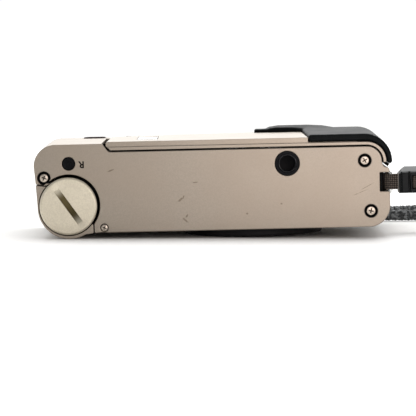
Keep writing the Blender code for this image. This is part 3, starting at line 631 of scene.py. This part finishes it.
well_black = finish_dark("well_black", (0.004, 0.004, 0.004), 0.55)
well = turned("well", [(0.8, 1.05), (2.16, 1.05), (2.16, -0.1), (2.02, -0.1), (1.95, 0.0), (1.62, 0.7),
                       (1.62, 0.9), (0.8, 0.9)], (0, 0), steps=48, ease=0.04, closed=True)
in_wells = [(spot, HEAD_Y, 1.0, 0) for spot in (LEFT_SCREW, UPPER_SCREW, LOWER_SCREW)]
wells = screws_at("screw_wells", in_wells, well, well_black)
fitted(wells, well_black, "camera_body", "black_plastic")


# ------------------------------------------------------------------ battery housing, cap and cell
# The cap is turned from alloy and coated in a paler champagne. It screws into the mouth of a black
# tube in the housing, and a saw-cut slot lets a coin turn it. A brass contact lies under it.

def copied(name, node):
    """A frame solid's copy with its facets joined."""
    bm = bmesh.new()
    bm.from_mesh(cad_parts[node].data)
    bmesh.ops.remove_doubles(bm, verts=bm.verts, dist=1e-6)
    bmesh.ops.dissolve_limit(bm, angle_limit=math.radians(0.5), verts=bm.verts, edges=bm.edges)
    mesh = bpy.data.meshes.new(name)
    bm.to_mesh(mesh)
    bm.free()
    piece = bpy.data.objects.new(name, mesh)
    bpy.context.scene.collection.objects.link(piece)
    return piece


def eased(name, node, width, segments=3, angle=32):
    """A frame solid's copy with its sharp edges rounded."""
    return edges_eased(copied(name, node), width, segments, angle)


housing_outline = [(-58.95, 18.7), (-58.5, 11.6)] + arc((-48.0, 11.25), 10.5, 183, 300, 40)
housing_outline += [(-41.6, 2.25), (-40.1, 2.5), (-40.15, 5.3)]
housing_outline += arc((-48.3, 11.6), 9.85, -38, -222, 60)
SEAM = 18.4
housing = edges_eased(slab("battery_case", housing_outline, BASE_FACE, SEAM), 0.15)
fitted(housing, titanium, "camera_body", "titanium_cover", "battery_housing")

CAP_FACE, SAW, SAW_DEPTH = -33.0, 14.3, 1.7
cap = turned("coin_cap", [(0, CAP_FACE), (9.02, CAP_FACE), (9.55, -32.55), (9.55, -30.9), (8.4, -30.9),
                          (8.4, -28.7), (0, -28.7)], CELL_AT, steps=128, ease=0.1)
saw = slab("saw", circle((0, 0), SAW, 160), -1.0, 1.0, along="Z")
saw.data.transform(Matrix.Translation(Vector((CELL_AT[0], CAP_FACE + SAW_DEPTH - SAW, CELL_AT[1])) * MM)
                   @ Matrix.Rotation(math.radians(55), 4, "Y"))
cap = smoothed(cut(cap, saw), 18)
cap_metal, sockets, place = new_finish("cap_champagne", (0.62, 0.565, 0.45), 0.36, 0.85)
from_axis = place.node("ShaderNodeMapping", {"Vector": place,
                                             "Location": (-CELL_AT[0] * MM, 0, -CELL_AT[1] * MM)})
away = (from_axis.axis("X") * from_axis.axis("X")
        + from_axis.axis("Z") * from_axis.axis("Z")).maths("SQRT")
tool_marks = (away * 26000.0).maths("SINE")
grain = place.noise(2200.0, 3.0, 0.65)
cap_colour = (grain * 0.8 + place.noise(260.0, 2.0) * 0.2).clipped(0.3, 0.7).tint(
    (0.57, 0.52, 0.41), (0.68, 0.625, 0.50))
# Painted shade: the saw-cut slot darkens to olive brown as it gets deeper, inside the cap's rim.
slot_depth_shade = place.axis("Y").clipped(-32.9 * MM, -31.6 * MM) * (1.0 - away.clipped(7.9 * MM, 8.3 * MM))
slot_depth_shade.tint(cap_colour, (0.10, 0.078, 0.035)).to(sockets["Base Color"])
(0.32 + grain * 0.12).to(sockets["Roughness"])
(tool_marks * 0.3 + grain).bumps(0.000008, 0.5).to(sockets["Normal"])
fitted(cap, cap_metal, "battery_cap", "champagne_cap", "battery_cap")


def carried(material, *nodes):
    """Frame solids whose shape is already right get only this material."""
    for node in nodes:
        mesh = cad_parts[node].data
        mesh.materials.clear()
        mesh.materials.append(material)


inner_black = finish_dark("inside_black", (0.018, 0.018, 0.018), 0.7)
carried(inner_black, "battery_tube")
sleeve, sockets, place = new_finish("cell_sleeve", (0.02, 0.05, 0.2), 0.35, Coat_Weight=0.4)
height = place.axis("Y")
band = height.clipped(-9.0 * MM, -8.8 * MM) * (1.0 - height.clipped(-1.0 * MM, -0.8 * MM))
shrunk = place.noise(300.0, 3.0)
band.tint(shrunk.clipped(0.3, 0.7).tint((0.015, 0.04, 0.16), (0.025, 0.06, 0.24)),
          (0.65, 0.62, 0.5)).to(sockets["Base Color"])
shrunk.bumps(0.00003, 0.5).to(sockets["Normal"])
carried(sleeve, "battery_cell")
brass, sockets, place = new_finish("contact_brass", (0.7, 0.5, 0.22), 0.3, 0.95)
tarnish = place.noise(500.0, 4.0, 0.6)
tarnish.clipped(0.35, 0.7).tint((0.72, 0.53, 0.24), (0.42, 0.29, 0.13)).to(sockets["Base Color"])
(0.24 + tarnish * 0.25).to(sockets["Roughness"])
carried(brass, "battery_contact")


# ------------------------------------------------------------------ rewind button and tripod socket
# A small black button with turned rings rewinds the film, and a letter is printed beside it. The
# tripod socket is a blackened steel bush with a quarter-inch thread, pressed through the plate.

ring_black = finish_dark("button_black", (0.005, 0.005, 0.006), 0.38)
rewind = turned("rewind_key", [(0, -31.75), (0.45, -31.75), (0.6, -31.9), (0.75, -31.75), (1.1, -31.75),
                               (1.25, -31.9), (1.4, -31.8), (1.95, -31.95), (2.0, -31.8), (2.0, -30.2),
                               (2.8, -30.2), (2.8, -29.4), (1.2, -29.4), (1.2, -25.0), (0, -25.0)],
                REWIND_AT, steps=48, ease=0.05)
fitted(rewind, ring_black, "rewind_button", "black_plastic", "rewind_button")

letter = bpy.data.curves.new("letter", "FONT")
letter.body = "R"
letter.size = 3.1 * MM
letter.extrude = 0.015 * MM
letter.offset = 0.09 * MM
letter.align_x, letter.align_y = "CENTER", "CENTER"
printed = settled("rewind_letter", bpy.data.objects.new("rewind_letter", letter))
printed.data.transform(Matrix.Translation(Vector((REWIND_AT[0] + 4.3, BASE_FACE - 0.015, 25.4)) * MM)
                       @ Matrix.Rotation(math.radians(180), 4, "Y")
                       @ Matrix.Rotation(math.radians(90), 4, "X"))
ink = finish_dark("printed_ink", (0.004, 0.0035, 0.003), 0.6)
fitted(printed, ink, "camera_body", "black_plastic")

PITCH, DEEP, CREST, STEPS = 1.27, 6.9, 2.62, 60
bush = turned("socket_ring", [(3.3, -32.12), (3.98, -32.12), (3.98, -24.0), (0, -24.0), (0, -25.0),
                              (3.05, -25.0), (3.05, -32.0)], SOCKET_AT, steps=72, ease=0.06,
              closed=True)
fitted(bush, ring_black, "camera_body", "black_plastic", "tripod_bush")
bm = bmesh.new()
rows_of = int(DEEP / PITCH * 8)
rings = []
for j in range(rows_of + 1):
    depth = DEEP * j / rows_of
    ring = []
    for i in range(STEPS):
        phase = (depth / PITCH - i / STEPS) % 1.0
        radius = CREST + 0.4 * abs(2 * phase - 1)
        angle = 2 * math.pi * i / STEPS
        ring.append(bm.verts.new(((SOCKET_AT[0] + radius * math.cos(angle)) * MM, (-32.0 + depth) * MM,
                                  (SOCKET_AT[1] + radius * math.sin(angle)) * MM)))
    rings.append(ring)
for low, high in zip(rings, rings[1:]):
    for i in range(STEPS):
        k = (i + 1) % STEPS
        bm.faces.new((low[i], low[k], high[k], high[i]))
mesh = bpy.data.meshes.new("socket_thread")
bmesh.ops.recalc_face_normals(bm, faces=bm.faces)
bmesh.ops.reverse_faces(bm, faces=bm.faces)
bm.to_mesh(mesh)
bm.free()
thread = bpy.data.objects.new("socket_thread", mesh)
bpy.context.scene.collection.objects.link(thread)
wall = thread.modifiers.new("wall", "SOLIDIFY")
wall.thickness, wall.offset = 0.12 * MM, -1
thread_black = finish_dark("thread_black", (0.012, 0.012, 0.014), 0.28, Specular_IOR_Level=0.7)
fitted(smoothed(settled("socket_thread", thread), 50), thread_black, "camera_body", "black_plastic")


# ------------------------------------------------------------------ covers
# Three more covers of the same blasted titanium close the front, the left end and the top. They are
# pressed from 1 mm sheet, and meet the base plate and each other with a seam of 0.3 mm.

for side, edge in (("front", 0.12), ("end", 0.12), ("top", 0.15)):
    shell = eased(side + "_shell", side + "_cover", edge)
    fitted(shell, titanium, "camera_body", "titanium_cover", side + "_cover")


# ------------------------------------------------------------------ lens
# The lens slides out of a round rim in the front, given the near-black finish. The aperture ring around it
# is knurled, the barrel is turned titanium, and the glass sits in a black cell with fine steps against
# stray light.

LENS_AT = (13.5, -5.0)
rim_black = finish_dark("anodised_black", (0.014, 0.014, 0.015), 0.45)
# The lens rim, listed as titanium, takes the near-black finish, which keeps it dark in the shadow gap
# under the body.
bezel = turned("lens_rim", [(19.3, 0.4), (19.8, 0.02), (22.7, 0.02), (23.2, 0.5), (23.2, 2.2), (21.1, 2.2),
                            (21.1, 3.6), (19.3, 3.6)], LENS_AT, "Z", 128, closed=True)
fitted(bezel, rim_black, "camera_body", "titanium_cover", "lens_bezel")
barrel = turned("lens_sleeve", [(7.5, 0.8), (9.0, 0.8), (9.2, 0.95), (9.5, 0.8), (12.4, 0.8), (12.6, 0.95),
                                (12.9, 0.8), (16.2, 0.8), (16.7, 1.3), (16.7, 18.5), (15.5, 18.5),
                                (15.5, 1.8), (7.5, 1.8)], LENS_AT, "Z", 128, closed=True)
fitted(barrel, titanium, "lens_barrel", "titanium_cover", "lens_barrel")
ring = turned("aperture_band", [(17.0, 0.5), (18.55, 0.5), (18.7, 0.9), (18.7, 3.1), (18.55, 3.5),
                                (17.0, 3.5)], LENS_AT, "Z", 128, closed=True)
fitted(ring, titanium, "aperture_ring", "titanium_cover", "aperture_ring")

ribs, given = new_tree("ribs_round", {"Count": "Int", "Radius": "Float", "Rib Size": "Vector",
                                      "Material": "Material"})
spots = given["Shape"].node("GeometryNodeMeshCircle",
                            {"Vertices": given["Count"], "Radius": given["Radius"]})
rib = spots.node("GeometryNodeMeshCylinder", {"Vertices": 6, "Radius": 0.5, "Depth": 1.0}, "Mesh")
shaped = rib.node("GeometryNodeTransform", {"Geometry": rib, "Scale": given["Rib Size"]})
here = spots.node("GeometryNodeInputPosition")
about = here.axis("Y").maths("ARCTAN2", here.axis("X"))
facing = about.node("ShaderNodeCombineXYZ", {"Z": about})
knurl = spots.node("GeometryNodeInstanceOnPoints",
                   {"Points": spots, "Instance": shaped, "Rotation": facing})
end_tree(ribs, knurl, given["Material"])


def ribbed(name, count, radius, rib, material, spot, along="Z"):
    """Ribs of (depth, width, length) in a ring about an axis, centred on the spot."""
    start = bpy.data.objects.new(name, bpy.data.meshes.new(name))
    made = grown(name, start, ribs, {"Count": count, "Radius": radius * MM, "Material": material,
                                     "Rib Size": [v * MM for v in rib]})
    turn = Matrix.Rotation(math.radians(90), 4, "X") if along == "Y" else Matrix.Identity(4)
    made.data.transform(Matrix.Translation(Vector(spot) * MM) @ turn)
    return made


knurls = ribbed("aperture_knurl", 90, 18.7, (0.5, 0.72, 2.0), titanium, (*LENS_AT, 2.0))
fitted(knurls, titanium, "aperture_ring", "titanium_cover")

cell_profile = [(6.6, 3.3)]
for i in range(8):
    cell_profile += [(7.2 + i, 3.3), (7.2 + i, 3.6), (7.7 + i, 3.6), (7.7 + i, 3.3)]
cell_profile += [(15.2, 3.3), (15.2, 11.2), (5.4, 11.2), (5.4, 8.6), (6.6, 8.0)]
cell = turned("lens_mount", cell_profile, LENS_AT, "Z", 96, ease=0, closed=True)
fitted(cell, rim_black, "lens_barrel", "black_plastic", "lens_cell")
coated, sockets, place = new_finish("coated_glass", (0.75, 0.85, 0.95), 0.03, Transmission_Weight=0.9,
                                    IOR=1.6, Coat_Weight=1.0, Coat_Tint=(0.75, 0.6, 1.0, 1))
dust = place.noise(900.0, 4.0, 0.7).clipped(0.6, 0.75)
(0.02 + dust * 0.05).to(sockets["Roughness"])
dust.tint((0.75, 0.85, 0.95), (0.6, 0.68, 0.76)).to(sockets["Base Color"])
glass_front = [(0, 3.5)] + [(r, 3.5 + 0.0275 * r * r) for r in np.linspace(0.6, 6.3, 12)]
glass_front += [(6.3, 6.4)] + [(r, 7.5 - 0.0275 * r * r) for r in np.linspace(5.7, 0.6, 10)] + [(0, 7.5)]
fitted(turned("front_glass", glass_front, LENS_AT, "Z", 96, ease=0), coated, "lens_barrel", "clear_glass",
       "front_lens")
carried(coated, "rear_lens")
carried(rim_black, "lens_tube", "shutter_unit")
for hand in ("right", "left"):
    node = "barrier_blade_" + hand
    fitted(eased("blade_" + hand, node, 0.12), rim_black, node, "black_plastic", node)


# ------------------------------------------------------------------ windows, flash and finder
# The finder, the rangefinder and the flash look out through flat panes set in the top cover. The
# flash tube lies in a polished trough, and the eyepiece has a black surround at the back.

pane, sockets, place = new_finish("window_pane", (0.9, 0.93, 0.95), 0.04, Transmission_Weight=0.92,
                                  IOR=1.5, Coat_Weight=0.6)
haze = place.noise(600.0, 4.0, 0.7)
(0.02 + haze.clipped(0.55, 0.75) * 0.08).to(sockets["Roughness"])
carried(pane, "finder_window", "eyepiece_lens")
smoke, sockets, place = new_finish("smoked_pane", (0.02, 0.014, 0.022), 0.06, Coat_Weight=0.8)
haze = place.noise(600.0, 4.0, 0.7)
haze.clipped(0.3, 0.7).tint((0.016, 0.011, 0.018), (0.03, 0.02, 0.03)).to(sockets["Base Color"])
(0.04 + haze * 0.08).to(sockets["Roughness"])
carried(smoke, "rangefinder_window", "lcd_window")
carried(well_black, "ready_lamp", "eye_sensor")

fresnel, sockets, place = new_finish("flash_pane", (0.85, 0.88, 0.85), 0.12, Transmission_Weight=0.7,
                                     IOR=1.45)
lines = (place.axis("X") * 9000.0).maths("SINE")
lines.bumps(0.00008, 0.8).to(sockets["Normal"])
lines.clipped(-1.0, 1.0).tint((0.7, 0.74, 0.7), (0.92, 0.94, 0.9)).to(sockets["Base Color"])
carried(fresnel, "flash_window")
mirror, sockets, place = new_finish("bright_metal", (0.82, 0.82, 0.8), 0.12, 1.0)
wear = place.noise(1200.0, 3.0)
(0.08 + wear * 0.14).to(sockets["Roughness"])
wear.clipped(0.3, 0.75).tint((0.85, 0.85, 0.83), (0.6, 0.6, 0.58)).to(sockets["Base Color"])
carried(mirror, "flash_reflector", "wind_motor")
tube, sockets, place = new_finish("flash_tube", (0.8, 0.78, 0.7), 0.1, Transmission_Weight=0.4)
ends = place.noise(400.0, 3.0)
ends.clipped(0.3, 0.7).tint((0.85, 0.83, 0.76), (0.6, 0.57, 0.48)).to(sockets["Base Color"])
carried(tube, "flash_tube")
surround_black = finish_dark("surround_black", (0.03, 0.012, 0.012), 0.4)
fitted(eased("eyepiece_surround", "eyepiece_frame", 0.15), surround_black, "camera_body",
       "black_plastic", "eyepiece_frame")


# ------------------------------------------------------------------ controls on the top
# Two knurled dials, the big shutter button and the small self-timer button stand in the top cover.
# Each is turned from titanium or moulded in black, and the two dials have a fine line cut as their index.

def dial(name, body, spot, ribs_count):
    x, z = spot
    knob = turned(name, [(0, 32.8), (3.0, 32.8), (3.3, 33.0), (6.5, 33.0), (7.0, 32.6), (7.1, 32.1),
                         (7.0, 32.0), (2.0, 32.0), (2.0, 28.9), (0, 28.9)], spot, steps=96)
    line = [(x - 0.12, z + 3.6), (x + 0.12, z + 3.6), (x + 0.12, z + 6.2), (x - 0.12, z + 6.2)]
    index = slab("index", line, 32.85, 33.4)
    knob = smoothed(cut(knob, index), 25)
    fitted(knob, titanium, body, "titanium_cover", body)
    grips = ribbed(name + "_knurl", ribs_count, 7.0, (0.5, 0.42, 0.62), titanium, (x, 32.35, z), "Y")
    fitted(grips, titanium, body, "titanium_cover")


dial("exposure_knob", "exposure_dial", (30.0, 16.0), 60)
dial("focus_knob", "focus_dial", (-22.0, 17.0), 60)
release_face = [(r, 32.75 + 0.012 * r * r) for r in np.linspace(0, 3.9, 9)]
button = turned("release_button", release_face + [(4.3, 32.85), (4.5, 32.5), (4.5, 30.2), (5.4, 30.2),
                                                  (5.4, 29.6), (1.5, 29.6), (1.5, 26.4), (0, 26.4)],
                (47.0, 16.5), steps=96)
fitted(button, cap_metal, "shutter_button", "titanium_cover", "shutter_button")
timer = turned("timer_button", [(0, 32.2), (0.9, 32.2), (1.1, 32.3), (1.8, 32.3), (2.0, 32.1), (2.0, 30.2),
                                (2.7, 30.2), (2.7, 29.6), (0.8, 29.6), (0.8, 27.0), (0, 27.0)],
               (8.0, 8.5), steps=64, ease=0.05)
fitted(timer, ring_black, "selftimer_button", "black_plastic", "selftimer_button")


# ------------------------------------------------------------------ film door
# The back swings on a pin at the right end. A thin flange closes against the body, and a raised panel
# on it is covered at the right by a black rubber grip with a rest for the thumb.

door = copied("film_back", "film_door")
for vert in door.data.vertices:
    if vert.co.z > 32.6 * MM:
        crowned = min(max(vert.co.x / MM + 35, 0) / 60, 1) * (vert.co.y / MM + 31.4) / 49
        vert.co.z += 0.7 * MM * crowned
door = edges_eased(door, 0.16)
fitted(door, blasted("door_titanium", champagne, 0.4)[0], "film_door", "titanium_cover", "film_door")

rubber, sockets, place = new_finish("grip_rubber", (0.02, 0.022, 0.024), 0.5, Specular_IOR_Level=0.06)
pebbles = place.node("ShaderNodeTexVoronoi", {"Vector": place, "Scale": 1600.0}, "Distance")
rubbed = place.noise(120.0, 3.0)
worn = (pebbles * 0.4 + rubbed * 0.6).clipped(0.25, 0.65)
worn.tint((0.0012, 0.0016, 0.0018), (0.005, 0.006, 0.0065)).to(sockets["Base Color"])
(0.4 + rubbed * 0.2).to(sockets["Roughness"])
(1.0 - pebbles).bumps(0.00003, 0.5).to(sockets["Normal"])
grip = eased("rubber_grip", "thumb_grip", 0.75, 5)
fitted(grip, rubber, "film_door", "grip_rubber", "thumb_grip")
window = slab("film_pane", rounded((-25.35, -17.85), (-18.65, 7.85), 0.8), 30.1, 32.72, along="Z")
fitted(edges_eased(window, 0.1), smoke, "film_door", "smoked_window", "film_window")
carried(inner_black, "pressure_plate")
carried(mirror, "door_hinge_pin")
leaf = eased("leaf_spring", "pressure_spring", 0.03)
fitted(leaf, mirror, "film_door", "steel", "pressure_spring")
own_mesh(leaf)
fitted(eased("door_catch", "door_release", 0.2), ring_black, "door_release", "black_plastic",
       "door_release")


# ------------------------------------------------------------------ frame and works inside
# A black moulded frame carries the film path, the finder tube, the wind motor in its spool and the
# circuit board. They are seen only with the back open.

carried(inner_black, "chassis", "mid_deck", "light_baffle", "take_up_spool", "rewind_fork", "finder_tube")
carried(sleeve, "flash_capacitor")
board, sockets, place = new_finish("circuit_board", (0.02, 0.12, 0.06), 0.4)
tracks = place.node("ShaderNodeTexVoronoi", {"Vector": place, "Scale": 420.0}, "Distance")
tracks.clipped(0.35, 0.4).tint((0.015, 0.10, 0.05), (0.05, 0.22, 0.1)).to(sockets["Base Color"])
tracks.clipped(0.35, 0.4).bumps(0.00003, 0.5).to(sockets["Normal"])
carried(board, "circuit_board")


# ------------------------------------------------------------------ wrist strap
# A chrome bail at the right end holds a folded loop of woven nylon webbing. The loop runs into a
# moulded black buckle, and the two ends of the cord come out of the buckle's other side.

carried(mirror, "strap_lug")
# Painted shade: the strap anchor takes the near-black finish because it stands in the shadowed notch
# beside the webbing.
carried(well_black, "strap_anchor")
BAIL = (58.5, -28.8)
HALF_FOLD, WARP, WEFT = 1.65, 0.64, 0.58
straight, bend = 61.3 - BAIL[0], math.pi * HALF_FOLD
WEB_LOW, WEB_HIGH = 14.75, 19.75
steps_along = 180
steps_across = 64


def fold_point(distance, out):
    """A place on the folded webbing, out from its middle, as (x, y)."""
    radius = HALF_FOLD + out
    if distance < straight:
        return 61.3 - distance, BAIL[1] - radius
    if distance < straight + bend:
        turn_by = (distance - straight) / HALF_FOLD
        return BAIL[0] - radius * math.sin(turn_by), BAIL[1] - radius * math.cos(turn_by)
    return BAIL[0] + distance - straight - bend, BAIL[1] + radius


web = bmesh.new()
layers = []
for face in (1, -1):
    grid = []
    for i in range(steps_along + 1):
        distance = (2 * straight + bend) * i / steps_along
        row = []
        for j in range(steps_across + 1):
            z = WEB_LOW + (WEB_HIGH - WEB_LOW) * j / steps_across
            warp = math.sin(math.pi * (z - WEB_LOW) / WARP)
            weft = math.sin(math.pi * distance / WEFT)
            edge = min(z - WEB_LOW, WEB_HIGH - z, 0.25) / 0.25
            crossing = 0.5 + 0.5 * warp * weft * face
            groove = abs(warp) ** 0.5 * abs(weft) ** 0.3
            out = (0.10 + 0.12 * crossing + 0.08 * groove) * math.sqrt(max(edge, 0.02))
            x, y = fold_point(distance, out * face)
            row.append(web.verts.new((x * MM, y * MM, z * MM)))
        grid.append(row)
    layers.append(grid)
for grid, flip in ((layers[0], False), (layers[1], True)):
    for a, b in zip(grid, grid[1:]):
        for j in range(steps_across):
            quad = (a[j], a[j + 1], b[j + 1], b[j])
            web.faces.new(quad[::-1] if flip else quad)
front_grid, back_grid = layers
for i in range(steps_along):
    for j in (0, steps_across):
        web.faces.new((front_grid[i][j], front_grid[i + 1][j], back_grid[i + 1][j], back_grid[i][j]))
for i in (0, steps_along):
    for j in range(steps_across):
        web.faces.new((front_grid[i][j], front_grid[i][j + 1], back_grid[i][j + 1], back_grid[i][j]))
bmesh.ops.recalc_face_normals(web, faces=web.faces)
mesh = bpy.data.meshes.new("webbing_loop")
web.to_mesh(mesh)
web.free()
mesh.shade_smooth()
webbing = bpy.data.objects.new("webbing_loop", mesh)
bpy.context.scene.collection.objects.link(webbing)
nylon, sockets, place = new_finish("woven_nylon", (0.03, 0.025, 0.02), 0.6, Sheen_Weight=0.05,
                                   Specular_IOR_Level=0.15)
fibres = place.noise(5000.0, 3.0)
lit = fibres.clipped(0.3, 0.7).tint((0.05, 0.04, 0.032), (0.13, 0.105, 0.085))
per_yarn = math.pi / WARP / MM
# The yarn tops take the lit fibre colour. The weave pattern darkens the gaps between the yarns nearly to
# black, and those gaps are painted shade.
weave_and_gap_shade = (place.axis("X") * per_yarn).maths("SINE") * (place.axis("Z") * per_yarn).maths("SINE")
weave_and_gap_shade.maths("ABSOLUTE").clipped(0.25, 0.6).tint((0.003, 0.0025, 0.002), lit).to(sockets["Base Color"])
(0.5 + fibres * 0.3).to(sockets["Roughness"])
fibres.bumps(0.00003, 0.5).to(sockets["Normal"])
fitted(webbing, nylon, "camera_body", "strap_webbing", "strap_webbing")

grooves = []
for x, wide, deep in ((62.15, 0.5, 0.5), (64.75, 0.6, 0.8)):
    grooves.append(slab("groove", [(x, -35), (x + wide, -35), (x + wide, -31.2 + deep), (x, -31.2 + deep)],
                        10, 25, along="Z"))
buckle = edges_eased(cut(copied("strap_slider", "strap_buckle"), *grooves), 0.22, 4)
gloss_black = finish_dark("buckle_black", (0.006, 0.007, 0.0075), 0.3, 900.0, 0.000006, 0.14,
                          Specular_IOR_Level=0.08)
fitted(buckle, gloss_black, "camera_body", "black_plastic", "strap_buckle")
band = slab("keeper_band", [(66.2, 15.0), (73.3, 15.0), (73.3, 19.0), (66.2, 19.0)], -30.9, -29.6)
fitted(edges_eased(band, 0.3), nylon, "camera_body", "strap_webbing")
